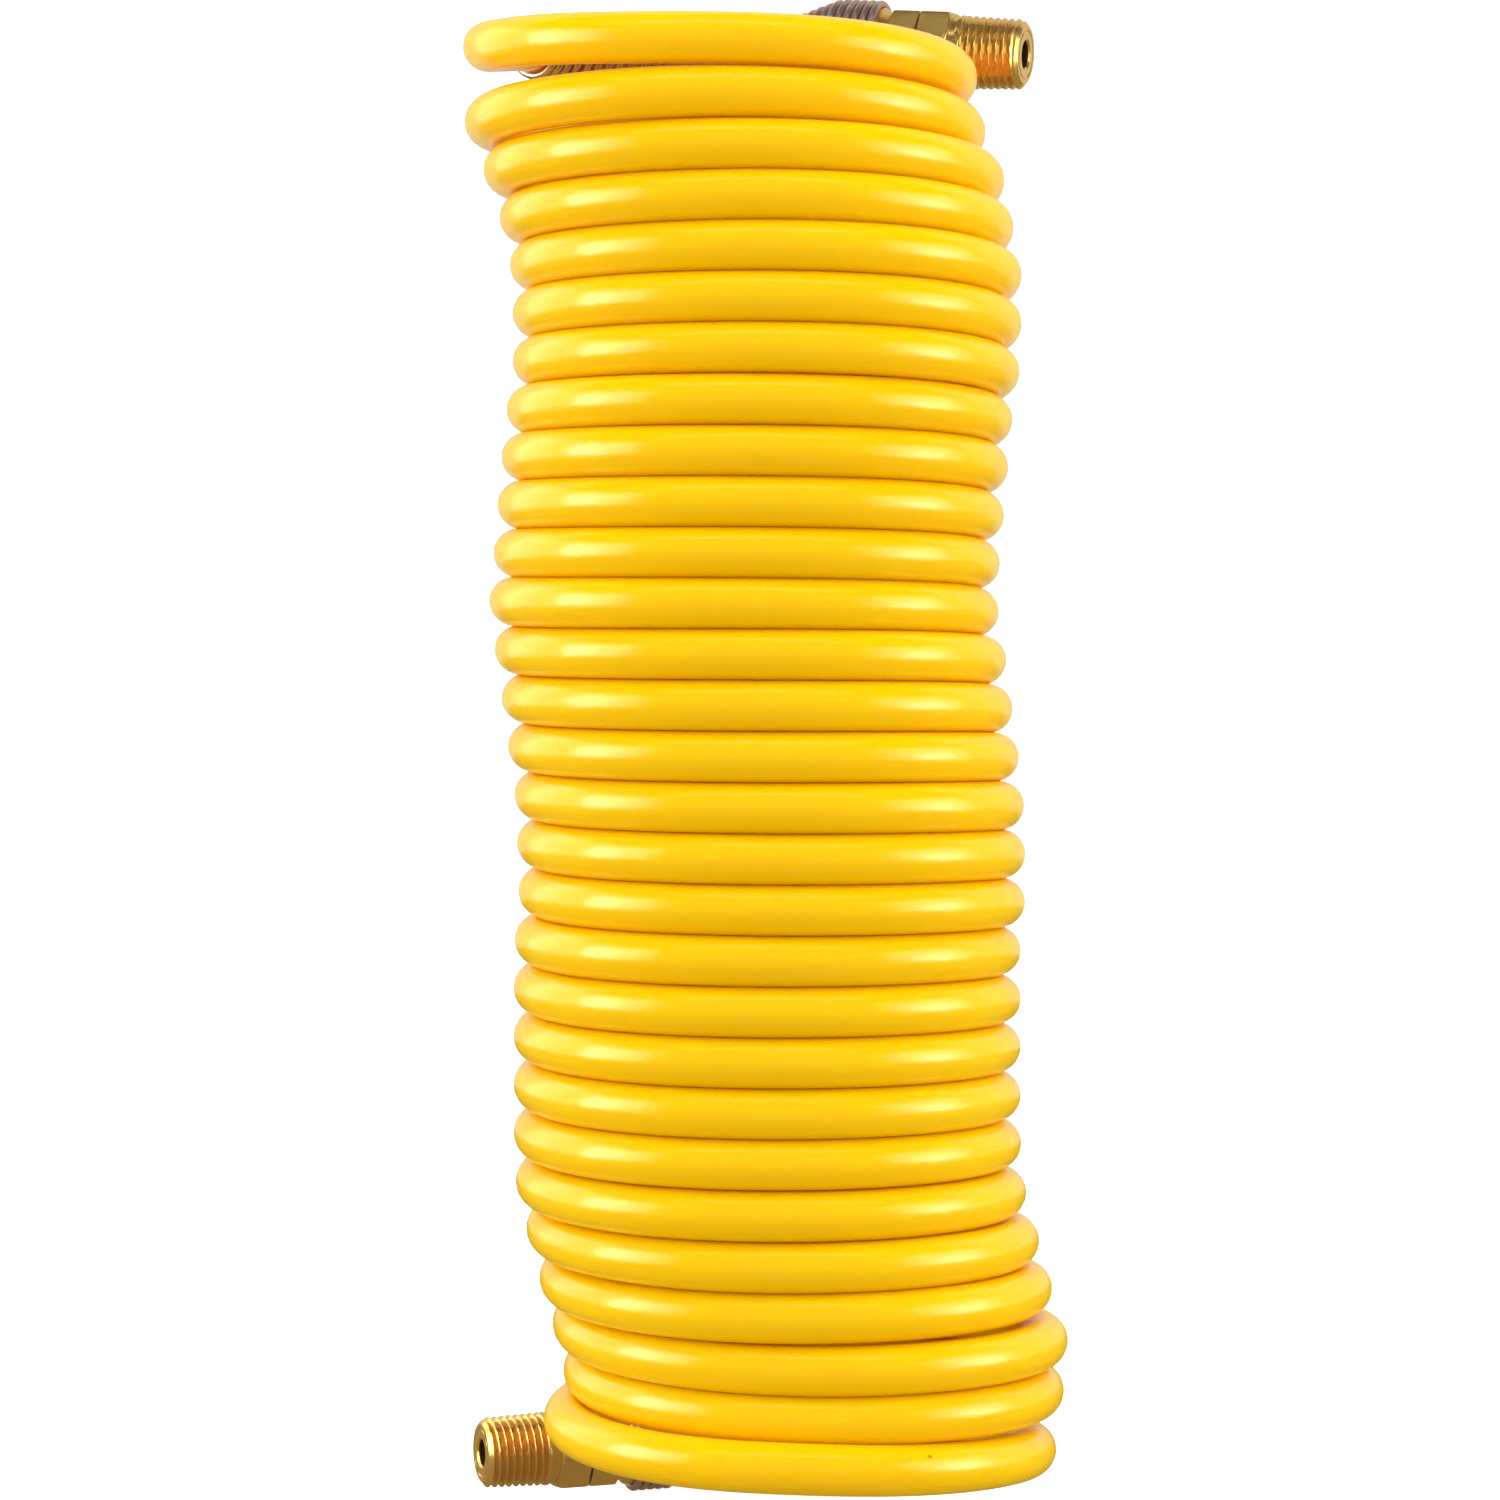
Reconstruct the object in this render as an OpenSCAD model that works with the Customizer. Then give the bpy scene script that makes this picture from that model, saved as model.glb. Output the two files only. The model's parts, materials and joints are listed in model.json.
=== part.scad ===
// Recoil air hose: a coiled nylon tube with a swivel male pipe fitting and a wire spring guard at
// each end. The closed turns are exact rings stacked face to face. The first and last turns are swept
// tubes that run out tangentially into the fittings.

/* [Hose] */
// outside diameter of the tube
hose_od = 8.9; // [6:0.05:14]
// inside diameter of the tube
hose_id = 6.4; // [4:0.05:10]
// diameter of the coil measured at the tube's centre
coil_d = 84.8; // [60:0.2:140]
// height taken by one turn
pitch = 8.9; // [6:0.05:16]
// closed turns between the first and the last turn
closed_turns = 27; // [8:1:60]
// sideways lean of the turns, right side up
lean = 1.6; // [0:0.1:4]

/* [Fitting body] */
// pitch of the pipe thread
thread_pitch = 1.411; // [0.9:0.001:2.2]
// radius over the crests at the small end of the thread
thread_r = 6.63; // [4:0.01:12]
// depth of the thread groove
thread_depth = 0.95; // [0.5:0.05:1.5]
// grooves cut in the thread
thread_count = 8; // [5:1:12]
// through bore radius of the fitting
bore_r = 2.6; // [1.5:0.1:5]
// size across the flats of both hexagons
hex_af = 14.29; // [12:0.01:24]
// distance from the end face to the hexagon
hex_from = 14; // [12:0.1:20]
// length of the hexagon on the swivel body
hex_len = 6.2; // [4:0.1:10]
// open gap between the swivel body and the nut
swivel_gap = 0.4; // [0.2:0.1:1]
// length of the nut's hexagon
nut_len = 5.9; // [4:0.1:10]
// radius of the swivel socket
socket_r = 4.2; // [3:0.1:6]
// radial running clearance in the socket
run_clear = 0.06; // [0.02:0.01:0.1]

/* [Spring guard] */
// wire diameter
wire_d = 1.5; // [1:0.1:2.5]
// outside diameter of the guard at its mouth
mouth_d = 18.6; // [14:0.1:24]
// close turns at the mouth
mouth_turns = 5; // [3:1:8]
// turns over which the guard narrows to the hose
cone_turns = 5; // [3:1:8]
// open turns along the hose
open_turns = 21; // [8:1:30]
// advance per close turn
close_pitch = 1.65; // [1.55:0.05:2.5]
// advance per open turn
open_pitch = 2.75; // [2:0.05:5]

/* [Lead-out] */
// distance from the top end face to where the hose starts to bend
top_straight = 46; // [40:0.5:70]
// distance from the bottom end face to where the hose starts to bend
bottom_straight = 49.5; // [40:0.5:70]
// how far each fitting turns towards the front, seen from above
fitting_yaw = 20; // [0:1:40]
// height of the top end face above the highest closed turn
top_rise = 15.65; // [12:0.05:30]
// depth of the bottom end face below the lowest closed turn
bottom_drop = 19.15; // [14:0.05:30]

/* [Hidden] */
hose_r = hose_od / 2;
coil_r = coil_d / 2;
wire_r = wire_d / 2;
tube_sides = 12;
lead_step = 6;
ring_h = pitch * cos(lean);
ring_r = ring_h / 2 + 0.12;
seat_depth = 0.02;
last_turn = closed_turns + 2;
nose_z = 9.3;
coil_low = nose_z + bottom_drop;
coil_high = coil_low + (closed_turns - 1) * pitch;
centre_x = 0.03;
centre_y = -0.8;
hex_to = hex_from + hex_len;
nut_from = hex_to + swivel_gap;
nut_to = nut_from + nut_len;
stop_at = nut_from + 3.2;
socket_from = 9;
groove_at = hex_to - 3;
seal_at = socket_from + 3.2;
neck_to = nut_to + 1.6;
seat_to = neck_to + 5;
guard_from = neck_to + wire_r + 0.1;
seat_r = mouth_d / 2 - wire_d + 0.05;
grip_r = hose_r + 0.1 + wire_r;
total_guard_turns = mouth_turns + cone_turns + open_turns;
wire_steps = 16;
wire_sides = 5;

// sideways drift of each turn's centre, as turn number and offset
wander = [[1, -8.5], [2, -8], [3, -4.5], [4, -2], [5, 0], [7, 0], [12, -4.5], [16, 0.5],
    [23, 0], [24, 0.5], [26, 5], [28, 8.5], [29, 6.5]];

// height of the hose above its end face along each lead-out, as distance and height
top_climb = [[0, 0], [45, 3.8], [60, 4.1], [82, 1.5], [104, -1.9], [126, -2.2], [160, -3.7],
    [193, -6.1], [226, -5.7], [268, -5]];
bottom_climb = [[0, 0], [49, 0], [64, 0.3], [86, 1.6], [108, 3.8], [131, 7], [164, 8.6],
    [197, 10.1], [230, 9.3], [255, 9.5]];

// end is 1 for the top fitting and -1 for the bottom one
function arc_x(end) = centre_x + lookup(end > 0 ? 1 : last_turn, wander);
function straight(end) = end > 0 ? top_straight : bottom_straight;
function bend_from(end) = 90 - end * fitting_yaw;
function bend_at(end, w) = bend_from(end) + end * (w - straight(end)) / coil_r * 180 / PI;
function nose_of(end) = [
    arc_x(end) + coil_r * cos(bend_from(end)) + end * straight(end) * cos(fitting_yaw),
    centre_y + coil_r * sin(bend_from(end)) - straight(end) * sin(fitting_yaw),
    end > 0 ? coil_high + top_rise : nose_z];
function climb(end, w) = lookup(w, end > 0 ? top_climb : bottom_climb);
function plan_at(end, w) = w < straight(end)
    ? [nose_of(end)[0] - end * w * cos(fitting_yaw), nose_of(end)[1] + w * sin(fitting_yaw)]
    : [arc_x(end) + coil_r * cos(bend_at(end, w)), centre_y + coil_r * sin(bend_at(end, w))];
function centre_at(end, w) = [plan_at(end, w)[0], plan_at(end, w)[1], nose_of(end)[2] + climb(end, w)];
function unit(v) = v / norm(v);
function along_at(end, w) = unit(centre_at(end, w + 0.5) - centre_at(end, w - 0.5));
function side_at(end, w) = unit(cross([0, 0, 1], along_at(end, w)));
function up_at(end, w) = cross(along_at(end, w), side_at(end, w));

// distance along the hose and radius of the wire's centre after n turns of the guard
close_len = mouth_turns * close_pitch;
cone_len = cone_turns * (close_pitch + 0.05);
function guard_w(n) = guard_from + (n < mouth_turns ? n * close_pitch
    : n < mouth_turns + cone_turns ? close_len + (n - mouth_turns) * (close_pitch + 0.05)
    : close_len + cone_len + (n - mouth_turns - cone_turns) * open_pitch);
mouth_r = mouth_d / 2 - wire_r;
function guard_r(n) = n < mouth_turns ? mouth_r
    : n < mouth_turns + cone_turns ? mouth_r + (grip_r - mouth_r) * (n - mouth_turns) / cone_turns
    : grip_r;

// crest radius of the tapered thread at distance w from the end face
function crest(w) = thread_r + w / 32;

$fa = 6;
$fs = 0.4;

// one closed turn of the hose, slightly flattened where it rests on its neighbours
module closed_turn() {
    rotate_extrude()
        intersection() {
            translate([coil_r, 0])
                circle(r = ring_r);
            translate([coil_r - hose_od, -ring_h / 2 - seat_depth])
                square([2 * hose_od, ring_h + 2 * seat_depth]);
        }
}

module hose_coil() {
    color("gold")
        translate([centre_x, centre_y, coil_high])
            rotate([0, -lean, 0])
                for (turn = [0 : closed_turns - 1])
                    translate([lookup(turn + 2, wander) - turn * pitch * sin(lean), 0, -turn * ring_h])
                        closed_turn();
}

// hollow tube swept from the hose's end in the fitting to the closed turns
module lead_tube(end, reach) {
    steps = round((reach - stop_at) / lead_step);
    stations = [for (i = [0 : steps]) stop_at + (reach - stop_at) * i / steps];
    ring_angles = [for (k = [0 : tube_sides - 1]) (k + 0.5) * 360 / tube_sides];
    function wall(r) = [for (w = stations) for (a = ring_angles)
        centre_at(end, w) + r * (cos(a) * side_at(end, w) + sin(a) * up_at(end, w))];
    n = tube_sides;
    inner = n * (steps + 1);
    last = n * steps;
    skin = [for (i = [0 : steps - 1]) for (k = [0 : n - 1]) for (half = [0, 1])
        let (a = i * n + k, b = i * n + (k + 1) % n)
        half == 0 ? [a, a + n, b + n] : [a, b + n, b]];
    lining = [for (f = skin) [f[0] + inner, f[2] + inner, f[1] + inner]];
    mouth = [for (k = [0 : n - 1]) for (half = [0, 1])
        let (a = k, b = (k + 1) % n)
        half == 0 ? [a, b, b + inner] : [a, b + inner, a + inner]];
    far = [for (f = mouth) [f[0] + last, f[2] + last, f[1] + last]];
    polyhedron(points = concat(wall(hose_r), wall(hose_id / 2)),
        faces = concat(skin, lining, mouth, far), convexity = 8);
}

module hose_lead_top() {
    color("gold")
        lead_tube(1, 268);
}

module hose_lead_bottom() {
    color("gold")
        lead_tube(-1, 255);
}

// wire guard: close turns at the mouth, a cone, then open turns along the hose
module guard(end) {
    steps = total_guard_turns * wire_steps;
    n = wire_sides;
    wire = [for (i = [0 : steps]) for (k = [0 : n - 1])
        let (turns = i / wire_steps, w = guard_w(turns), a = 360 * turns, b = 180 + 360 * k / n)
        let (out = cos(a) * side_at(end, w) + sin(a) * up_at(end, w))
        centre_at(end, w) + (guard_r(turns) + wire_r * cos(b)) * out
            + wire_r * sin(b) * along_at(end, w)];
    skin = [for (i = [0 : steps - 1]) for (k = [0 : n - 1]) for (half = [0, 1])
        let (a = i * n + k, b = i * n + (k + 1) % n)
        half == 0 ? [a, b, b + n] : [a, b + n, a + n]];
    start = [for (k = [1 : n - 2]) [0, k + 1, k]];
    finish = [for (k = [1 : n - 2]) [steps * n, steps * n + k, steps * n + k + 1]];
    polyhedron(points = wire, faces = concat(skin, start, finish), convexity = 20);
}

module top_spring_guard() {
    color("silver")
        guard(1);
}

module bottom_spring_guard() {
    color("silver")
        guard(-1);
}

// puts a fitting piece, drawn from its end face along +Z, in place at one end of the hose
module at_end(end) {
    pitch_angle = atan2(climb(end, 40), 40);
    translate(nose_of(end))
        rotate([0, 0, end > 0 ? 180 - fitting_yaw : fitting_yaw])
            rotate([0, 90 - pitch_angle, 0])
                children();
}

// male pipe thread, collar and hexagon, with the swivel socket at the back
module male_connector() {
    difference() {
        union() {
            rotate_extrude()
                polygon(concat(
                    [[0, 0], [crest(0) - 1.1, 0], [crest(0.9), 0.9]],
                    [for (i = [0 : thread_count - 1]) each [
                        [crest(1), 1 + i * thread_pitch],
                        [crest(1) - thread_depth + i * 0.044, 1.6 + i * thread_pitch],
                        [crest(1) - thread_depth + i * 0.044, 1.75 + i * thread_pitch],
                        [crest(1) + i * 0.044, 2.3 + i * thread_pitch]]],
                    [[6.7, 1.05 + thread_count * thread_pitch], [6.7, hex_from], [0, hex_from]]));
            translate([0, 0, hex_from])
                intersection() {
                    cylinder(h = hex_len, r = hex_af / sqrt(3), $fn = 6);
                    cylinder(h = hex_len, r1 = hex_af / 2 + 0.35, r2 = hex_af / 2 + 0.35 + hex_len);
                }
        }
        translate([0, 0, -1])
            cylinder(h = hex_to + 2, r = bore_r);
        translate([0, 0, socket_from])
            cylinder(h = hex_to, r = socket_r);
        translate([0, 0, groove_at])
            cylinder(h = 0.8, r = socket_r + 0.5);
    }
}

// split spring wire that holds the stem in the socket
module retaining_ring() {
    translate([0, 0, groove_at])
        difference() {
            cylinder(h = 0.8, r = socket_r + 0.45);
            translate([0, 0, -1])
                cylinder(h = 3, r = socket_r - 0.45);
            translate([0, -0.8, -1])
                cube([8, 1.6, 3]);
        }
}

// hose stem: journal in the socket, shoulder under the nut, barbs in the hose
module swivel_stem() {
    journal_r = socket_r - run_clear;
    barb_r = hose_id / 2 - 0.12;
    difference() {
        union() {
            translate([0, 0, socket_from + 0.8])
                cylinder(h = nut_from - socket_from - 0.8, r = journal_r);
            translate([0, 0, nut_from])
                cylinder(h = stop_at - nut_from, r = 5.55);
            translate([0, 0, stop_at])
                cylinder(h = 12, r = barb_r - 0.25);
            for (i = [0 : 3])
                translate([0, 0, stop_at + 2.4 + i * 2.4])
                    cylinder(h = 1.8, r1 = barb_r, r2 = barb_r - 0.25);
        }
        translate([0, 0, socket_from])
            cylinder(h = 40, r = 2.1);
        translate([0, 0, groove_at - 0.2])
            difference() {
                cylinder(h = 1.2, r = 6);
                cylinder(h = 1.2, r = socket_r - 0.65);
            }
        translate([0, 0, seal_at - 0.7])
            difference() {
                cylinder(h = 1.4, r = 6);
                cylinder(h = 1.4, r = 3.1);
            }
    }
}

module o_ring() {
    translate([0, 0, seal_at])
        rotate_extrude()
            translate([3.59, 0])
                circle(r = 0.52);
}

module thrust_washer() {
    translate([0, 0, socket_from + 0.1])
        difference() {
            cylinder(h = 0.7, r = socket_r - 0.1);
            translate([0, 0, -1])
                cylinder(h = 3, r = 2.7);
        }
}

// hexagon nut whose tail carries the guard's close turns
module compression_nut() {
    difference() {
        union() {
            translate([0, 0, nut_from])
                intersection() {
                    cylinder(h = nut_len, r = hex_af / sqrt(3), $fn = 6);
                    cylinder(h = nut_len, r1 = hex_af / 2 + 0.35 + nut_len, r2 = hex_af / 2 + 0.35);
                }
            translate([0, 0, nut_to])
                cylinder(h = neck_to - nut_to, r1 = 6.9, r2 = 6.3);
            translate([0, 0, neck_to])
                cylinder(h = seat_to - neck_to, r = seat_r);
        }
        translate([0, 0, nut_from - 1])
            cylinder(h = stop_at - nut_from + 1, r = 5.6);
        translate([0, 0, stop_at - 1])
            cylinder(h = 40, r = hose_r + 0.6);
    }
}

module ferrule() {
    translate([0, 0, stop_at])
        difference() {
            cylinder(h = 9.5, r = hose_r + 0.55);
            translate([0, 0, -1])
                cylinder(h = 12, r = hose_r + 0.05);
        }
}

module top_male_connector() {
    color("goldenrod")
        at_end(1)
            male_connector();
}

module top_retaining_ring() {
    color("dimgray")
        at_end(1)
            retaining_ring();
}

module top_swivel_stem() {
    color("goldenrod")
        at_end(1)
            swivel_stem();
}

module top_o_ring() {
    color("black")
        at_end(1)
            o_ring();
}

module top_thrust_washer() {
    color("white")
        at_end(1)
            thrust_washer();
}

module top_compression_nut() {
    color("goldenrod")
        at_end(1)
            compression_nut();
}

module top_ferrule() {
    color("darkgoldenrod")
        at_end(1)
            ferrule();
}

module bottom_male_connector() {
    color("goldenrod")
        at_end(-1)
            male_connector();
}

module bottom_retaining_ring() {
    color("dimgray")
        at_end(-1)
            retaining_ring();
}

module bottom_swivel_stem() {
    color("goldenrod")
        at_end(-1)
            swivel_stem();
}

module bottom_o_ring() {
    color("black")
        at_end(-1)
            o_ring();
}

module bottom_thrust_washer() {
    color("white")
        at_end(-1)
            thrust_washer();
}

module bottom_compression_nut() {
    color("goldenrod")
        at_end(-1)
            compression_nut();
}

module bottom_ferrule() {
    color("darkgoldenrod")
        at_end(-1)
            ferrule();
}

hose_coil();
hose_lead_top();
hose_lead_bottom();
top_male_connector();
top_retaining_ring();
top_swivel_stem();
top_o_ring();
top_thrust_washer();
top_compression_nut();
top_ferrule();
top_spring_guard();
bottom_male_connector();
bottom_retaining_ring();
bottom_swivel_stem();
bottom_o_ring();
bottom_thrust_washer();
bottom_compression_nut();
bottom_ferrule();
bottom_spring_guard();
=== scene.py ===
"""Looks of a recoil air hose: coiled nylon tube, brass swivel fittings and wire spring guards.

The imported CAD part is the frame. Every visible piece is rebuilt here in finer detail at the place
the frame gives it, and the CAD nodes that stay hidden inside the fittings get their finishes too.
Lengths are in metres.
"""

import json
import logging
import math
from dataclasses import dataclass, field
from enum import Enum

import bpy
import numpy as np
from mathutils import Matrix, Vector


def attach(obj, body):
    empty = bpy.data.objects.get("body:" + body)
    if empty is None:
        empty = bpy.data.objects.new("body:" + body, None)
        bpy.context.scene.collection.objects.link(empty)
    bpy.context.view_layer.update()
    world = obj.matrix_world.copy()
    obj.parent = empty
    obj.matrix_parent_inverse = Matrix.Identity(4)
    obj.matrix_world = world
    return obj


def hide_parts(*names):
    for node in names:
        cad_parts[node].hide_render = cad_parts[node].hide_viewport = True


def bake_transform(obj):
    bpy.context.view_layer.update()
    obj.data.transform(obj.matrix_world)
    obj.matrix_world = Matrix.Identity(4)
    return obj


logging.basicConfig(level=logging.INFO, format="%(levelname)s %(message)s")
log = logging.getLogger("recoil_hose")

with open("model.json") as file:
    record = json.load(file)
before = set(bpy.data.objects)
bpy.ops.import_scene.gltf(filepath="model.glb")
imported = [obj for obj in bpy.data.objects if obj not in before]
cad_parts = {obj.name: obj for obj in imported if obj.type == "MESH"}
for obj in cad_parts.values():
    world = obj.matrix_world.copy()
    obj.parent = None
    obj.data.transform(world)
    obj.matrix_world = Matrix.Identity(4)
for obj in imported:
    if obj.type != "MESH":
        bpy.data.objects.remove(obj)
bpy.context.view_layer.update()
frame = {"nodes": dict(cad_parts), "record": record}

MM = 0.001
SHARP_CORNER_DEG = 32.0

# distance from a fitting's end face, and radius at each angle round its axis
Rings = list[tuple[float, np.ndarray]]


class End(Enum):
    """The two ends of the hose."""

    TOP = "top"
    BOTTOM = "bottom"

    @property
    def label(self) -> str:
        """Prefix of this end's node names."""
        return self.value

    @property
    def body(self) -> str:
        """The CAD body that this end's nut, guard and stem belong to."""
        return "top_end" if self is End.TOP else "coil_and_bottom_end"


# ---------------------------------------------------------------------------------------------
# Finishes
# ---------------------------------------------------------------------------------------------


class NodeWriter:
    """Short calls for building a shader or geometry node tree."""

    def __init__(self, tree: bpy.types.NodeTree) -> None:
        """Keeps the tree that nodes are added to.

        Args:
            tree: the node tree to write in.
        """
        self.tree = tree

    def add(self, kind: str, inputs: dict | None = None, **settings: object) -> bpy.types.Node:
        """Adds one node.

        Args:
            kind: the node's type name.
            inputs: socket name or index to a constant or to another node's output socket.
            settings: properties set on the node before its inputs.

        Returns:
            The new node.
        """
        node = self.tree.nodes.new(kind)
        for name, value in settings.items():
            setattr(node, name, value)
        for key, value in (inputs or {}).items():
            socket = node.inputs[key]
            if isinstance(value, bpy.types.NodeSocket):
                self.tree.links.new(value, socket)
            else:
                socket.default_value = value
        return node

    def ramp(self, factor: bpy.types.NodeSocket, stops: list[tuple[float, tuple]]) -> bpy.types.NodeSocket:
        """Adds a colour ramp.

        Args:
            factor: the socket that drives the ramp.
            stops: position and colour of each stop, in order.

        Returns:
            The ramp's colour output.
        """
        node = self.add("ShaderNodeValToRGB", {0: factor})
        elements = node.color_ramp.elements
        while len(elements) < len(stops):
            elements.new(0.5)
        for element, (position, colour) in zip(elements, stops):
            element.position = position
            element.color = (*colour, 1.0)
        return node.outputs["Color"]

    def mix(self, factor: object, a: object, b: object) -> bpy.types.NodeSocket:
        """Adds a colour mix.

        Args:
            factor: the share of b, a number or a socket.
            a: first colour, a tuple or a socket.
            b: second colour, a tuple or a socket.

        Returns:
            The mixed colour's output.
        """
        node = self.add("ShaderNodeMix", data_type="RGBA")
        for socket, value in ((node.inputs[0], factor), (node.inputs[6], a), (node.inputs[7], b)):
            if isinstance(value, bpy.types.NodeSocket):
                self.tree.links.new(value, socket)
            elif isinstance(value, tuple):
                socket.default_value = (*value, 1.0)
            else:
                socket.default_value = value
        return node.outputs[2]

    def math(self, operation: str, a: object, b: object, c: float = 0.0) -> bpy.types.NodeSocket:
        """Adds a math node.

        Args:
            operation: the node's operation.
            a: first value or socket.
            b: second value or socket.
            c: third value, which only some operations read.

        Returns:
            The result's output.
        """
        return self.add("ShaderNodeMath", {0: a, 1: b, 2: c}, operation=operation).outputs[0]

    def bump(self, height: bpy.types.NodeSocket, strength: float, distance: float) -> bpy.types.NodeSocket:
        """Adds a bump.

        Args:
            height: the relief.
            strength: how much of it shows.
            distance: its depth.

        Returns:
            The bent normal.
        """
        given = {"Height": height, "Strength": strength, "Distance": distance}
        return self.add("ShaderNodeBump", given).outputs[0]


def new_material(name: str) -> tuple[bpy.types.Material, NodeWriter, bpy.types.Node]:
    """Makes an empty material with a Principled shader.

    Args:
        name: the material's name.

    Returns:
        The material, a writer on its tree and its Principled node.
    """
    material = bpy.data.materials.new(name)
    material.use_nodes = True
    tree = material.node_tree
    tree.nodes.clear()
    writer = NodeWriter(tree)
    shader = writer.add("ShaderNodeBsdfPrincipled")
    writer.add("ShaderNodeOutputMaterial", {"Surface": shader.outputs[0]})
    return material, writer, shader


def set_surface(w: NodeWriter, shader: bpy.types.Node, **surface: object) -> None:
    """Sets several inputs of a Principled shader.

    Args:
        w: writer on the shader's tree.
        shader: the Principled node.
        surface: input name, with underscores for spaces, to a constant or a socket.
    """
    for name, value in surface.items():
        socket = shader.inputs[name.replace("_", " ")]
        if isinstance(value, bpy.types.NodeSocket):
            w.tree.links.new(value, socket)
        else:
            socket.default_value = value


@dataclass(frozen=True)
class NylonFinish:
    """Glossy, slightly waxy yellow nylon tube."""

    base: tuple[float, float, float] = (1.0, 0.59, 0.001)
    deep: tuple[float, float, float] = (1.0, 0.515, 0.0)
    scuff: tuple[float, float, float] = (0.30, 0.17, 0.01)
    roughness: float = 0.14
    index: float = 1.53
    milkiness: float = 0.80
    light_depth: float = 7.0 * MM
    depth_by_colour: tuple[float, float, float] = (1.0, 0.40, 0.04)

    def build(self) -> bpy.types.Material:
        """Builds the tube's material: tone drifting along the hose, draw lines, specks and scuffs."""
        material, w, shader = new_material("nylon tube")
        place = w.add("ShaderNodeTexCoord").outputs["Object"]
        lane = w.add("ShaderNodeAttribute", attribute_name="lane").outputs["Vector"]
        drift = w.add("ShaderNodeTexNoise", {"Vector": place, "Scale": 18.0, "Detail": 3.0})
        tone = w.mix(w.math("MULTIPLY", drift.outputs["Fac"], 0.7), self.base, self.deep)
        specks = w.add("ShaderNodeTexVoronoi", {"Vector": place, "Scale": 62.0})
        rare = w.add("ShaderNodeTexNoise", {"Vector": place, "Scale": 9.0, "Detail": 1.0})
        dot = w.math("LESS_THAN", specks.outputs["Distance"], 0.028)
        few = w.math("GREATER_THAN", rare.outputs["Fac"], 0.60)
        speck = w.math("MULTIPLY", dot, few)
        colour = w.mix(w.math("MULTIPLY", speck, 0.75), tone, self.scuff)
        stretched = w.add("ShaderNodeMapping", {"Vector": lane, "Scale": (60.0, 900.0, 1.0)})
        draw = w.add("ShaderNodeTexNoise", {"Vector": stretched.outputs[0], "Scale": 1.0, "Detail": 2.0})
        smear = w.add("ShaderNodeTexNoise", {"Vector": place, "Scale": 140.0, "Detail": 4.0})
        set_surface(
            w,
            shader,
            Base_Color=colour,
            Roughness=w.math("MULTIPLY_ADD", smear.outputs["Fac"], 0.07, self.roughness),
            Normal=w.bump(draw.outputs["Fac"], 0.06, 0.4 * MM),
            IOR=self.index,
            Subsurface_Weight=self.milkiness,
            Subsurface_Radius=self.depth_by_colour,
            Subsurface_Scale=self.light_depth,
        )
        return material


@dataclass(frozen=True)
class BrassFinish:
    """Machined brass with fine turning marks and slight tarnish in scattered spots."""

    bright: tuple[float, float, float] = (0.92, 0.60, 0.21)
    warm: tuple[float, float, float] = (0.76, 0.44, 0.12)
    tarnish: tuple[float, float, float] = (0.42, 0.24, 0.08)
    roughness: float = 0.14
    metallic: float = 0.84

    def build(self) -> bpy.types.Material:
        """Builds the brass, whose marks follow the lathe coordinate kept on each mesh."""
        material, w, shader = new_material("machined brass")
        place = w.add("ShaderNodeTexCoord").outputs["Object"]
        lane = w.add("ShaderNodeAttribute", attribute_name="lane").outputs["Vector"]
        cloud = w.add("ShaderNodeTexNoise", {"Vector": place, "Scale": 260.0, "Detail": 4.0})
        tone = w.mix(w.math("MULTIPLY", cloud.outputs["Fac"], 0.8), self.bright, self.warm)
        stain = w.add("ShaderNodeTexNoise", {"Vector": place, "Scale": 700.0, "Detail": 2.0})
        spots = w.ramp(stain.outputs["Fac"], [(0.60, (0.0, 0.0, 0.0)), (0.74, (1.0, 1.0, 1.0))])
        colour = w.mix(w.math("MULTIPLY", spots, 0.18), tone, self.tarnish)
        turned = w.add("ShaderNodeMapping", {"Vector": lane, "Scale": (9000.0, 0.6, 1.0)})
        marks = w.add("ShaderNodeTexNoise", {"Vector": turned.outputs[0], "Scale": 1.0, "Detail": 3.0})
        set_surface(
            w,
            shader,
            Base_Color=colour,
            Roughness=w.math("MULTIPLY_ADD", marks.outputs["Fac"], 0.16, self.roughness),
            Normal=w.bump(marks.outputs["Fac"], 0.12, 0.1 * MM),
            Metallic=self.metallic,
        )
        return material


@dataclass(frozen=True)
class GuardFinish:
    """Spring wire plated with yellow zinc, whose film shifts between rose, olive and silver."""

    rose: tuple[float, float, float] = (0.52, 0.34, 0.32)
    olive: tuple[float, float, float] = (0.52, 0.53, 0.40)
    silver: tuple[float, float, float] = (0.72, 0.72, 0.70)
    film_tint: tuple[float, float, float] = (1.0, 0.80, 0.80)
    roughness: float = 0.20
    metallic: float = 0.82

    def build(self) -> bpy.types.Material:
        """Builds the plated wire."""
        material, w, shader = new_material("plated spring wire")
        place = w.add("ShaderNodeTexCoord").outputs["Object"]
        film = w.add("ShaderNodeTexNoise", {"Vector": place, "Scale": 190.0, "Detail": 2.0})
        colour = w.ramp(
            film.outputs["Fac"],
            [(0.30, self.olive), (0.45, self.rose), (0.60, self.rose), (0.72, self.silver)],
        )
        grain = w.add("ShaderNodeTexNoise", {"Vector": place, "Scale": 2500.0, "Detail": 2.0})
        set_surface(
            w,
            shader,
            Base_Color=colour,
            Roughness=w.math("MULTIPLY_ADD", grain.outputs["Fac"], 0.2, self.roughness),
            Normal=w.bump(grain.outputs["Fac"], 0.08, 0.05 * MM),
            Metallic=self.metallic,
            Specular_Tint=(*self.film_tint, 1.0),
        )
        return material


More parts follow.
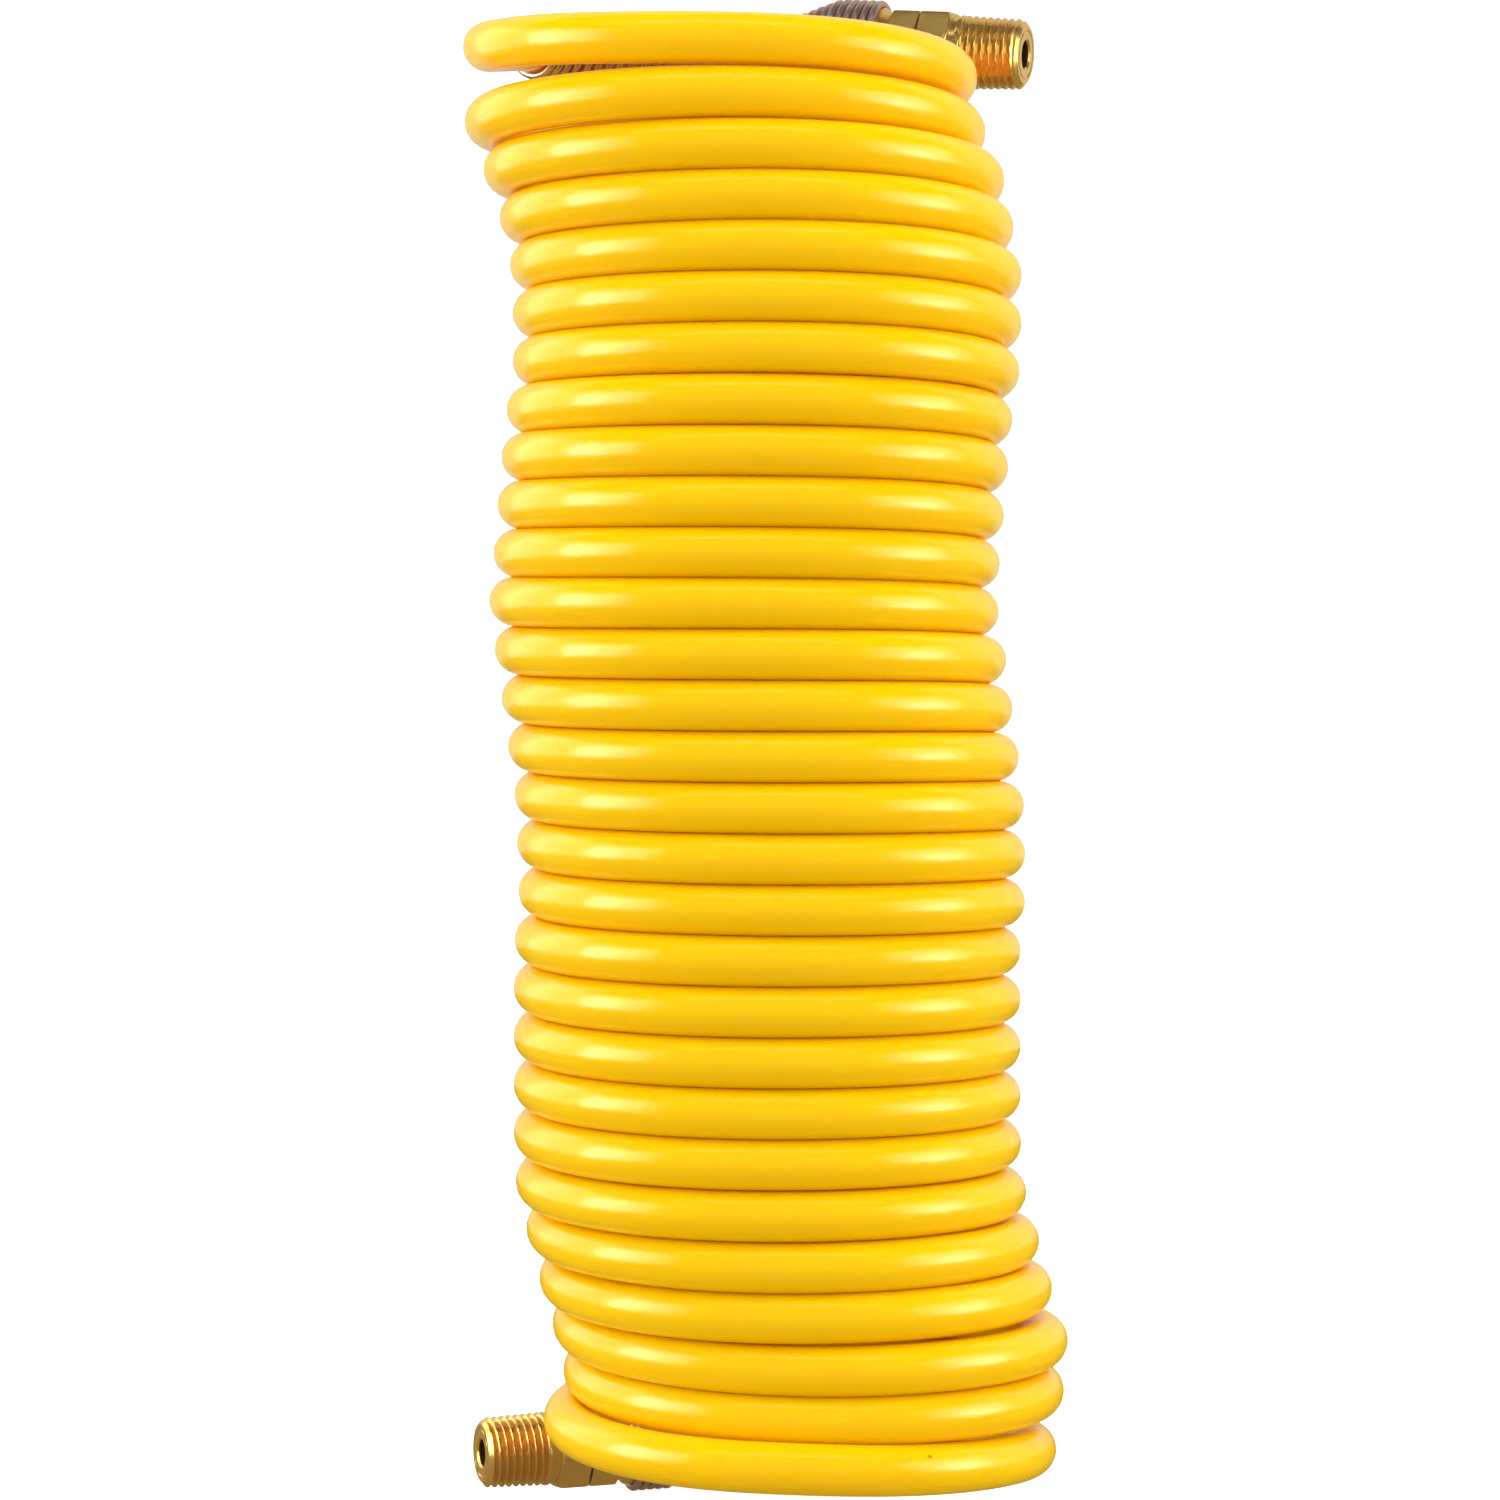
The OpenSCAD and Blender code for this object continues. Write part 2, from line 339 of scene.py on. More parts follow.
@dataclass(frozen=True)
class InnerFinish:
    """Plain finish of a part hidden inside a fitting, with a faint mottle. It also makes the dark brass
    that is painted shade in the connectors' bores.
    """

    name: str
    light: tuple[float, float, float]
    dark: tuple[float, float, float]
    roughness: float
    metallic: float = 0.0

    def build(self) -> bpy.types.Material:
        """Builds the material."""
        material, w, shader = new_material(self.name)
        place = w.add("ShaderNodeTexCoord").outputs["Object"]
        noise = w.add("ShaderNodeTexNoise", {"Vector": place, "Scale": 900.0, "Detail": 3.0})
        set_surface(
            w,
            shader,
            Base_Color=w.mix(noise.outputs["Fac"], self.light, self.dark),
            Roughness=w.math("MULTIPLY_ADD", noise.outputs["Fac"], 0.15, self.roughness),
            Metallic=self.metallic,
        )
        return material


# ---------------------------------------------------------------------------------------------
# Mesh and sweep helpers
# ---------------------------------------------------------------------------------------------


def smooth_values(values: np.ndarray, width: int) -> np.ndarray:
    """Rounds the corners of a sampled curve.

    Args:
        values: samples at even steps.
        width: half width of the rounding, in samples.

    Returns:
        The rounded samples, as many as came in.
    """
    kernel = np.hanning(2 * width + 1)
    kernel /= kernel.sum()
    padded = np.pad(values, width, mode="reflect", reflect_type="odd")
    return np.convolve(padded, kernel, mode="valid")


def grid_mesh(name: str, rings: np.ndarray, lane: np.ndarray) -> bpy.types.Object:
    """Makes a closed skin from rings of points, with the last ring joined to the first.

    Args:
        name: the object's name.
        rings: array of ring, point on ring, xyz.
        lane: one vector per point, kept as the mesh's lathe coordinate.

    Returns:
        The new object, linked to the scene.
    """
    count, sides = rings.shape[:2]
    verts = rings.reshape(-1, 3)
    faces: list[tuple[int, ...]] = []
    for i in range(count):
        a, b = i * sides, ((i + 1) % count) * sides
        for k in range(sides):
            n = (k + 1) % sides
            faces.append((a + k, a + n, b + n, b + k))
    mesh = bpy.data.meshes.new(name)
    mesh.from_pydata(verts.tolist(), [], faces)
    mesh.validate()
    attribute = mesh.attributes.new("lane", "FLOAT_VECTOR", "POINT")
    attribute.data.foreach_set("vector", lane.reshape(-1).astype(np.float32))
    obj = bpy.data.objects.new(name, mesh)
    bpy.context.scene.collection.objects.link(obj)
    outward(obj)
    return obj


def outward(obj: bpy.types.Object) -> None:
    """Turns all the faces of a closed mesh outwards.

    Args:
        obj: the mesh object.
    """
    mesh = obj.data
    mesh.calc_loop_triangles()
    co = np.array([v.co[:] for v in mesh.vertices])
    tri = np.array([t.vertices[:] for t in mesh.loop_triangles])
    a, b, c = co[tri[:, 0]], co[tri[:, 1]], co[tri[:, 2]]
    if np.einsum("ij,ij->i", a, np.cross(b, c)).sum() < 0:
        mesh.flip_normals()
    mesh.update()


def finish_mesh(obj: bpy.types.Object, material: bpy.types.Material) -> None:
    """Gives a turned mesh its material, and keeps its corners sharp.

    Args:
        obj: the mesh object.
        material: the finish.
    """
    mesh = obj.data
    mesh.materials.clear()
    mesh.materials.append(material)
    mesh.shade_smooth()
    mesh.set_sharp_from_angle(angle=math.radians(SHARP_CORNER_DEG))


class WireSweep:
    """Geometry Nodes tree that sweeps a round section along a line of points."""

    def __init__(self) -> None:
        """Builds the tree with its named inputs."""
        tree = bpy.data.node_groups.new("Round section along a path", "GeometryNodeTree")
        face = tree.interface
        face.new_socket("Geometry", in_out="INPUT", socket_type="NodeSocketGeometry")
        radius = face.new_socket("Section radius", in_out="INPUT", socket_type="NodeSocketFloat")
        sides = face.new_socket("Section sides", in_out="INPUT", socket_type="NodeSocketInt")
        finish = face.new_socket("Finish", in_out="INPUT", socket_type="NodeSocketMaterial")
        face.new_socket("Geometry", in_out="OUTPUT", socket_type="NodeSocketGeometry")
        self.tree = tree
        self.keys = {"radius": radius.identifier, "sides": sides.identifier, "finish": finish.identifier}
        w = NodeWriter(tree)
        given = w.add("NodeGroupInput")
        spline = w.add("GeometryNodeSplineParameter")
        line = w.add("GeometryNodeMeshToCurve", {0: given.outputs["Geometry"]})
        upright = w.add("GeometryNodeSetCurveNormal", {0: line.outputs[0]})
        measured = w.add(
            "GeometryNodeStoreNamedAttribute",
            {"Geometry": upright.outputs[0], "Name": "along", "Value": spline.outputs["Length"]},
            data_type="FLOAT",
            domain="POINT",
        )
        section = w.add(
            "GeometryNodeCurvePrimitiveCircle",
            {"Resolution": given.outputs["Section sides"], "Radius": given.outputs["Section radius"]},
        )
        turn = w.add("GeometryNodeSplineParameter")
        round_about = w.add(
            "GeometryNodeStoreNamedAttribute",
            {"Geometry": section.outputs[0], "Name": "around", "Value": turn.outputs["Factor"]},
            data_type="FLOAT",
            domain="POINT",
        )
        skin = w.add(
            "GeometryNodeCurveToMesh",
            {"Curve": measured.outputs[0], "Profile Curve": round_about.outputs[0], "Fill Caps": True},
        )
        soft = w.add("GeometryNodeSetShadeSmooth", {0: skin.outputs[0]})
        real = w.add("GeometryNodeRealizeInstances", {0: soft.outputs[0]})
        painted = w.add(
            "GeometryNodeSetMaterial",
            {"Geometry": real.outputs[0], "Material": given.outputs["Finish"]},
        )
        w.add("NodeGroupOutput", {0: painted.outputs[0]})

    def sweep(
        self, name: str, points: np.ndarray, radius: float, sides: int, material: bpy.types.Material
    ) -> bpy.types.Object:
        """Sweeps one closed tube and keeps it as a plain mesh.

        Args:
            name: the object's name.
            points: the centreline, one point per row.
            radius: the section's radius.
            sides: the section's number of sides.
            material: the finish.

        Returns:
            The mesh object, at the origin, with the vector attribute "lane" (along, around, 0).
        """
        mesh = bpy.data.meshes.new(name + " line")
        mesh.from_pydata(points.tolist(), [(i, i + 1) for i in range(len(points) - 1)], [])
        host = bpy.data.objects.new(name + " line", mesh)
        bpy.context.scene.collection.objects.link(host)
        modifier = host.modifiers.new("sweep", "NODES")
        modifier.node_group = self.tree
        modifier[self.keys["radius"]] = float(radius)
        modifier[self.keys["sides"]] = int(sides)
        modifier[self.keys["finish"]] = material
        bpy.context.view_layer.update()
        depsgraph = bpy.context.evaluated_depsgraph_get()
        result = bpy.data.meshes.new_from_object(host.evaluated_get(depsgraph))
        result.name = name
        bpy.data.objects.remove(host)
        bpy.data.meshes.remove(mesh)
        obj = bpy.data.objects.new(name, result)
        bpy.context.scene.collection.objects.link(obj)
        count = len(result.vertices)
        lane = np.zeros((count, 3), np.float32)
        for column, key in ((0, "along"), (1, "around")):
            values = np.zeros(count, np.float32)
            result.attributes[key].data.foreach_get("value", values)
            lane[:, column] = values
        attribute = result.attributes.new("lane", "FLOAT_VECTOR", "POINT")
        attribute.data.foreach_set("vector", lane.reshape(-1))
        outward(obj)
        return obj


# ---------------------------------------------------------------------------------------------
# The hose's route
# ---------------------------------------------------------------------------------------------


@dataclass
class HoseRoute:
    """The line that the middle of the hose follows, from the bottom fitting to the top one.

    A station is the angle swept from the top fitting, in degrees seen from above: 90 is the back,
    180 the left, 270 the middle of the first front pass, and each later front pass is 360 further.
    """

    radius: float = 42.4 * MM
    pitch: float = 8.9 * MM
    centre: tuple[float, float] = (0.03 * MM, -0.8 * MM)
    second_pass_height: float = 259.85 * MM
    lean: float = 1.15 * MM
    first_station: float = 70.0
    last_station: float = 10550.0
    stop_at: float = 23.8 * MM
    knee: float = 6.0 * MM
    spacing: float = 3.4 * MM
    # turn number and how far that turn's middle stands to the right, in millimetres
    wander: tuple[tuple[float, float], ...] = (
        (0.4, -8.5), (0.75, -9.1), (1, -8.7), (1.25, -8.1), (1.75, -8.9), (2.25, -6.6), (2.75, -5.4),
        (3.25, -3.1), (4, -2), (5, 0), (7, 0), (8, -1.5), (12, -4.5), (13, -3), (16, 0.5), (18, 1),
        (19, 0), (23, 0), (24, 0.5), (26, 5.3), (26.75, 7.1), (27.25, 8.9), (27.75, 9.2),
        (28.25, 8.1), (28.75, 5.7), (29, 5.5), (29.25, 6.5), (29.4, 6.5),
    )
    # station and lift above the even coil, in millimetres
    lift: tuple[tuple[float, float], ...] = (
        (70, 5.2), (90, 6.0), (120, 6.6), (150, 6.0), (180, 3.4), (200, 2.2), (225, 1.2), (250, 0.1),
        (275, -0.2), (360, -0.4), (430, -1.0), (540, -1.6), (720, -1.44), (990, -1.36), (1350, -1.15),
        (1710, -0.95), (2790, -0.75), (3150, -0.45), (4300, -0.25), (8280, -0.2), (8640, -0.4),
        (8820, -0.15), (8910, -0.5), (9000, -0.4), (9180, -0.5), (9360, -0.35), (9540, 0),
        (9630, -0.8), (9720, -1.05), (9900, 0.3), (9990, -0.55), (10080, -1.35), (10170, 0.2),
        (10260, 1.0), (10350, 0.9), (10440, -3.2), (10490, -4.9), (10530, -5.6), (10550, -4.9),
    )
    # turn number and how far its front stands above its sides, in millimetres
    nod: tuple[tuple[float, float], ...] = (
        (0.5, 0), (1, 0.15), (2, 1.2), (3, 0.9), (5, 0.75), (7.5, 0.7), (9, 0.2), (13, 0.15), (16, 0),
    )
    # station and how far the last turn bulges: towards the front, and all round, in millimetres
    bulge: tuple[tuple[float, float, float], ...] = (
        (9990, 0, 0), (10100, 0, 0), (10180, 1.6, 0), (10260, 4.0, 0.1), (10350, 4.4, 0.3),
        (10430, 2.2, 0.2), (10490, 0.3, 0),
    )
    axes: dict[End, tuple[np.ndarray, np.ndarray]] = field(default_factory=dict)

    def fitting_line(self, end: End) -> tuple[np.ndarray, np.ndarray]:
        """The end face's centre and the direction that points out of the fitting.

        Args:
            end: which fitting.

        Returns:
            Centre and unit direction, from the record's mounts.
        """
        if end not in self.axes:
            mounts = {m["name"]: m for m in frame["record"]["mounts"]}
            mount = mounts[f"{end.label}_pipe_thread"]
            axis = np.array(mount["axis"], float)
            self.axes[end] = (np.array(mount["pos_m"], float), axis / np.linalg.norm(axis))
        return self.axes[end]

    @staticmethod
    def follow(table: tuple, at: np.ndarray, rounding: int, column: int = 1) -> np.ndarray:
        """Reads a table of knots as a rounded curve.

        Args:
            table: the knots, place first.
            at: where to read it.
            rounding: half width of the rounding, in samples.
            column: which value of each knot to read, in millimetres.

        Returns:
            One value per place, in metres.
        """
        knots = np.array(table)
        return smooth_values(np.interp(at, knots[:, 0], knots[:, column]), rounding) * MM

    def coil_points(self) -> np.ndarray:
        """The curved part of the route, from the top fitting's bend to the bottom fitting's."""
        step = 4.0
        stations = np.arange(self.first_station, self.last_station + step / 2, step)
        turns = (stations - 270.0) / 360.0 + 1.0
        drift = self.follow(self.wander, turns, 14)
        rise = self.follow(self.lift, stations, 6)
        tip = self.follow(self.nod, turns, 10)
        front = self.follow(self.bulge, stations, 8)
        swell = self.follow(self.bulge, stations, 8, column=2)
        angle = np.radians(stations)
        around = self.radius + swell
        height = self.second_pass_height - self.pitch * (stations - 630.0) / 360.0
        return np.stack(
            [
                self.centre[0] + drift + around * np.cos(angle),
                self.centre[1] - front + around * np.sin(angle),
                height + self.lean * np.cos(angle) - tip * np.sin(angle) + rise,
            ],
            axis=1,
        )

    def straight_points(self, end: End, bend: np.ndarray) -> np.ndarray:
        """The straight run from the hose's end in a fitting to the bend.

        Args:
            end: which fitting.
            bend: the first point of the curved part at this end.

        Returns:
            Points from the hose's end up to, but without, the bend.
        """
        nose, out = self.fitting_line(end)
        start = nose - out * self.stop_at
        knee = nose - out * (np.dot(nose - bend, out) - self.knee)
        count = 10
        run = [start + (knee - start) * i / count for i in range(count + 1)]
        return np.array(run)

    def points(self) -> np.ndarray:
        """The whole centreline, bottom end first, at even steps."""
        coil = self.coil_points()
        top = self.straight_points(End.TOP, coil[0])
        bottom = self.straight_points(End.BOTTOM, coil[-1])
        rough = np.concatenate([bottom, coil[::-1], top[::-1]])
        gaps = np.linalg.norm(np.diff(rough, axis=0), axis=1)
        along = np.concatenate([[0.0], np.cumsum(gaps)])
        even = np.linspace(0.0, along[-1], int(along[-1] / self.spacing))
        line = np.stack([np.interp(even, along, rough[:, i]) for i in range(3)], axis=1)
        held = 8
        middle = np.stack([smooth_values(line[:, i], 2) for i in range(3)], axis=1)
        line[held:-held] = middle[held:-held]
        return line


@dataclass
class Hose:
    """The nylon tube, one cord from fitting to fitting."""

    route: HoseRoute
    diameter: float = 9.0 * MM
    sides: int = 28
    cord_length: float = 7.8
    # a length of the tube at each end, next to its fitting
    rigid_end: float = 115.0 * MM
    line: np.ndarray = field(init=False)
    length: float = field(init=False)

    def build(self, sweeper: WireSweep, material: bpy.types.Material) -> bpy.types.Object:
        """Sweeps the tube along its route.

        Args:
            sweeper: the sweep tree.
            material: the nylon.

        Returns:
            The tube.
        """
        self.line = self.route.points()
        tube = sweeper.sweep("recoil_tube", self.line, self.diameter / 2, self.sides, material)
        gaps = np.linalg.norm(np.diff(self.line, axis=0), axis=1)
        self.length = float(gaps.sum())
        log.info("hose: %d stations, %.3f m", len(self.line), self.length)
        return tube

    def dress(self, tube: bpy.types.Object, with_pieces: list[bpy.types.Object]) -> None:
        """Args:
            tube: the tube.
            with_pieces: the pieces on its far end; not used.
        """
        count = len(tube.data.vertices)
        along = np.zeros(count, np.float32)
        tube.data.attributes["along"].data.foreach_get("value", along)
        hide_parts("hose_coil", "hose_lead_top", "hose_lead_bottom")
        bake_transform(tube)


@dataclass
class SpringGuard:
    """Wire guard: close turns at the mouth, a cone, then open turns along the hose."""

    end: End
    route: HoseRoute
    hose: Hose
    wire: float = 1.5 * MM
    mouth_radius: float = 8.55 * MM
    grip_radius: float = 5.3 * MM
    start_at: float = 28.95 * MM
    mouth_turns: float = 5.0
    cone_turns: float = 5.0
    open_turns: float = 21.0
    close_pitch: float = 1.65 * MM
    cone_pitch: float = 1.7 * MM
    open_pitch: float = 2.75 * MM
    steps_per_turn: int = 30
    wire_sides: int = 12

    def profile(self) -> tuple[np.ndarray, np.ndarray, np.ndarray]:
        """Turn count, distance along the hose from the end face, and coil radius of each sample."""
        total = self.mouth_turns + self.cone_turns + self.open_turns
        turns = np.linspace(0.0, total, int(total * self.steps_per_turn) + 1)
        knots = np.array([0.0, self.mouth_turns, self.mouth_turns + self.cone_turns, total])
        reach = np.cumsum(
            [
                self.start_at,
                self.mouth_turns * self.close_pitch,
                self.cone_turns * self.cone_pitch,
                self.open_turns * self.open_pitch,
            ]
        )
        along = np.interp(turns, knots, reach)
        radii = [self.mouth_radius, self.mouth_radius, self.grip_radius, self.grip_radius]
        radius = np.interp(turns, knots, radii)
        return turns, along, smooth_values(radius, self.steps_per_turn // 2)

    def build(self, sweeper: WireSweep, material: bpy.types.Material) -> bpy.types.Object:
        """Winds the wire round the hose's own line.

        Args:
            sweeper: the sweep tree.
            material: the plated wire.

        Returns:
            The guard.
        """
        line = self.hose.line if self.end is End.BOTTOM else self.hose.line[::-1]
        gaps = np.linalg.norm(np.diff(line, axis=0), axis=1)
        distance = self.route.stop_at + np.concatenate([[0.0], np.cumsum(gaps)])
        turns, along, radius = self.profile()
        centre = np.stack([np.interp(along, distance, line[:, i]) for i in range(3)], axis=1)
        tangent = np.gradient(centre, along, axis=0)
        tangent /= np.linalg.norm(tangent, axis=1)[:, None]
        side = np.cross(np.array([0.0, 0.0, 1.0]), tangent)
        side /= np.linalg.norm(side, axis=1)[:, None]
        up = np.cross(tangent, side)
        angle = 2 * math.pi * turns
        wheel = np.cos(angle)[:, None] * side + np.sin(angle)[:, None] * up
        points = centre + radius[:, None] * wheel
        name = f"{self.end.label}_guard_wire"
        guard = sweeper.sweep(name, points, self.wire / 2, self.wire_sides, material)
        log.info("%s: %d wire stations", guard.name, len(points))
        return guard

    def dress(self, guard: bpy.types.Object) -> None:
        """Puts the guard on its body in place of the CAD wire.

        Args:
            guard: the guard.
        """
        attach(guard, self.end.body)
        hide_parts(f"{self.end.label}_spring_guard")


# ---------------------------------------------------------------------------------------------
# Brass fittings
# ---------------------------------------------------------------------------------------------


@dataclass
class TurnedPart:
    """Base of the brass pieces: a skin of rings round a fitting's axis."""

    end: End
    route: HoseRoute
    hex_flats: float = 14.29 * MM
    corner_radius: float = 8.12 * MM
    # degrees between the fitting's side and the nearest flat, so that one flat faces up
    flat_turn: float = 30.0
    chamfer_slope: float = 1.35
    chamfer_steps: tuple[float, ...] = (0.0, 0.06, 0.16, 0.28, 0.42, 0.58, 0.78, 1.0)

    def angles(self) -> np.ndarray:
        """Angles of one ring's points, in degrees, close together at the hexagon's corners."""
        sector = [0.0, 7.0, 14.0, 20.0, 25.0, 28.6, 30.0, 31.4, 35.0, 40.0, 46.0, 53.0]
        return np.array([60.0 * k + a for k in range(6) for a in sector])

    def hex_radius(self, angles: np.ndarray) -> np.ndarray:
        """Distance from the axis to the hexagon's skin.

        Args:
            angles: angles round the axis, in degrees, with a flat at 0.

        Returns:
            One radius per angle, with the corners slightly eased.
        """
        off = (angles + 30.0) % 60.0 - 30.0
        return np.minimum(self.hex_flats / 2 / np.cos(np.radians(off)), self.corner_radius)

    def chamfer(self, hexagon: np.ndarray) -> Rings:
        """The rounded corners at a hexagon's end.

        Args:
            hexagon: the hexagon's radius per angle.

        Returns:
            Depth below the end and radius per angle of each ring, the end first.
        """
        rings: Rings = []
        for step in self.chamfer_steps:
            deep = step * MM
            cone = self.hex_flats / 2 - 0.15 * MM + deep * self.chamfer_slope
            rings.append((deep, np.minimum(hexagon, cone)))
        return rings

    def place(self, profile: Rings, angles: np.ndarray, name: str) -> bpy.types.Object:
        """Turns a list of rings into a closed skin at this fitting.

        Args:
            profile: the rings, outer skin first and bore last, so that the last joins the first.
            angles: the rings' angles, in degrees.
            name: the object's name.

        Returns:
            The new object.
        """
        nose, out = self.route.fitting_line(self.end)
        inward = -out
        side = np.cross(np.array([0.0, 0.0, 1.0]), inward)
        side /= np.linalg.norm(side)
        up = np.cross(inward, side)
        turn = np.radians(angles + self.flat_turn)
        wheel = np.cos(turn)[:, None] * side + np.sin(turn)[:, None] * up
        rings = np.array([nose + inward * w + wheel * r[:, None] for w, r in profile])
        lane = np.zeros(rings.shape)
        for i, (w, r) in enumerate(profile):
            lane[i, :, 0] = w + r
            lane[i, :, 1] = angles / 360.0
        return grid_mesh(name, rings, lane)


@dataclass
class MaleConnector(TurnedPart):
    """Taper pipe thread, collar and hexagon, which turn on the swivel stem."""

    thread_pitch: float = 1.411 * MM
    crest: float = 6.63 * MM
    depth: float = 1.0 * MM
    thread_to: float = 12.0 * MM
    hex_from: float = 14.0 * MM
    hex_to: float = 20.2 * MM
    bore: float = 2.6 * MM
    socket: float = 4.2 * MM
    socket_from: float = 9.0 * MM
    collar: float = 6.75 * MM
    # distance from the end face and radius of the groove turned into it, in millimetres
    face_groove: tuple[tuple[float, float], ...] = ((0.0, 4.30), (0.16, 4.42), (0.16, 4.60), (0.0, 4.72))

    def thread_radius(self, w: float, angles: np.ndarray) -> np.ndarray:
        """Radius of the threaded skin.

        Args:
            w: distance from the end face.
            angles: angles round the axis, in degrees.

        Returns:
            One radius per angle, following a true right-hand helix that runs out at the collar.
        """
        # a right-hand thread seen from the end face advances away as it turns clockwise
        phase = (w / self.thread_pitch - angles / 360.0) % 1.0
        wave = np.abs(2.0 * phase - 1.0)
        groove = np.clip((0.94 - wave) / 0.86, 0.0, 1.0)
        fade = min(1.0, max(0.0, (self.thread_to + 0.5 * MM - w) / (1.6 * MM)))
        nose = min(1.0, max(0.0, (w - 0.1 * MM) / (0.9 * MM)))
        crest = self.crest + w / 32.0
        chamfer = self.crest - 1.15 * MM + w * 1.25
        return np.minimum(crest - self.depth * fade * groove * nose, chamfer)

    def build(self, material: bpy.types.Material, bore_painted_shade: bpy.types.Material) -> bpy.types.Object:
        """Builds the connector.

        Args:
            material: the brass.
            bore_painted_shade: dark brass for the socket and bore, painted shade for the shadow inside the
                hole.

        Returns:
            The connector.
        """
        angles = self.angles()
        one = np.ones_like(angles)
        rows: Rings = [(0.0, one * (self.crest - 1.15 * MM))]
        steps = int(self.thread_to / self.thread_pitch * 16)
        for i in range(steps + 1):
            w = 0.08 * MM + (self.thread_to + 0.5 * MM) * i / steps
            rows.append((w, self.thread_radius(w, angles)))
        rows.append((self.thread_to + 0.7 * MM, one * self.collar))
        rows.append((self.hex_from - 0.02 * MM, one * self.collar))
        hexagon = self.hex_radius(angles)
        rows.extend((self.hex_from + deep, radius) for deep, radius in self.chamfer(hexagon))
        rows.append((self.hex_to - 0.12 * MM, hexagon))
        rows.append((self.hex_to, hexagon - 0.10 * MM))
        rows.append((self.hex_to, one * (self.socket + 0.3 * MM)))
        rows.append((self.hex_to - 0.3 * MM, one * self.socket))
        rows.append((self.socket_from, one * self.socket))
        rows.append((self.socket_from, one * self.bore))
        inside = len(rows) - 3
        rows.append((0.35 * MM, one * self.bore))
        outside = len(rows)
        rows.append((0.0, one * (self.bore + 0.35 * MM)))
        rows.extend((w * MM, one * radius * MM) for w, radius in self.face_groove)
        obj = self.place(rows, angles, f"{self.end.label}_threaded_fitting")
        finish_mesh(obj, material)
        # the socket and bore faces get a dark brass, which is painted shade for the shadow inside the hole
        obj.data.materials.append(bore_painted_shade)
        for face in obj.data.polygons:
            if inside <= face.index // len(angles) < outside - 1:
                face.material_index = 1
        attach(obj, f"{self.end.label}_connector")
        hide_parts(f"{self.end.label}_male_connector")
        return obj


@dataclass
class CompressionNut(TurnedPart):
    """Hexagon nut whose tail carries the guard's close turns."""

    nut_from: float = 20.6 * MM
    nut_to: float = 26.5 * MM
    neck_to: float = 28.1 * MM
    seat_to: float = 33.1 * MM
    seat: float = 7.85 * MM
    neck: float = 6.5 * MM
    stem_bore: float = 5.6 * MM
    hose_bore: float = 5.05 * MM
    step_at: float = 22.8 * MM

    def build(self, material: bpy.types.Material) -> bpy.types.Object:
        """Builds the nut.

        Args:
            material: the brass.

        Returns:
            The nut.
        """
        angles = self.angles()
        one = np.ones_like(angles)
        hexagon = self.hex_radius(angles)
        rows: Rings = [
            (self.nut_from, one * self.stem_bore),
            (self.nut_from, hexagon - 0.10 * MM),
            (self.nut_from + 0.12 * MM, hexagon),
        ]
        rows.extend((self.nut_to - deep, radius) for deep, radius in reversed(self.chamfer(hexagon)))
        rows.append((self.nut_to + 0.02 * MM, one * (self.neck + 0.3 * MM)))
        rows.append((self.nut_to + 0.5 * MM, one * self.neck))
        rows.append((self.neck_to, one * self.neck))
        rows.append((self.neck_to, one * (self.seat - 0.2 * MM)))
        rows.append((self.neck_to + 0.2 * MM, one * self.seat))
        rows.append((self.seat_to, one * self.seat))
        rows.append((self.seat_to, one * self.hose_bore))
        rows.append((self.step_at, one * self.hose_bore))
        rows.append((self.step_at, one * self.stem_bore))
        obj = self.place(rows, angles, f"{self.end.label}_hex_nut")
        finish_mesh(obj, material)
        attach(obj, self.end.body)
        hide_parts(f"{self.end.label}_compression_nut")
        return obj


class HiddenParts:
    """The CAD nodes that stay as they are inside the fittings."""

    def __init__(self, brass: bpy.types.Material) -> None:
        """Builds the finishes.

        Args:
            brass: the brass of the visible fittings.
        """
        steel = InnerFinish("ring steel", (0.42, 0.42, 0.44), (0.30, 0.30, 0.32), 0.30, 1.0).build()
        rubber = InnerFinish("seal rubber", (0.03, 0.03, 0.03), (0.015, 0.015, 0.016), 0.6).build()
        plastic = InnerFinish("washer plastic", (0.88, 0.88, 0.86), (0.78, 0.78, 0.75), 0.4).build()
        self.finishes = {
            "retaining_ring": steel,
            "o_ring": rubber,
            "thrust_washer": plastic,
            "swivel_stem": brass,
            "ferrule": brass,
        }

    def dress(self) -> None:
        """Assigns the finishes to the CAD nodes."""
        for end in End:
            for part, material in self.finishes.items():
                obj = frame["nodes"][f"{end.label}_{part}"]
                obj.data.materials.clear()
                obj.data.materials.append(material)
        log.info("inner parts dressed")


# ---------------------------------------------------------------------------------------------
# Studio
# ---------------------------------------------------------------------------------------------


class LightRole(Enum):
    """What a studio light does."""

    SHEEN = "reflects only"
    FILL = "lights only"


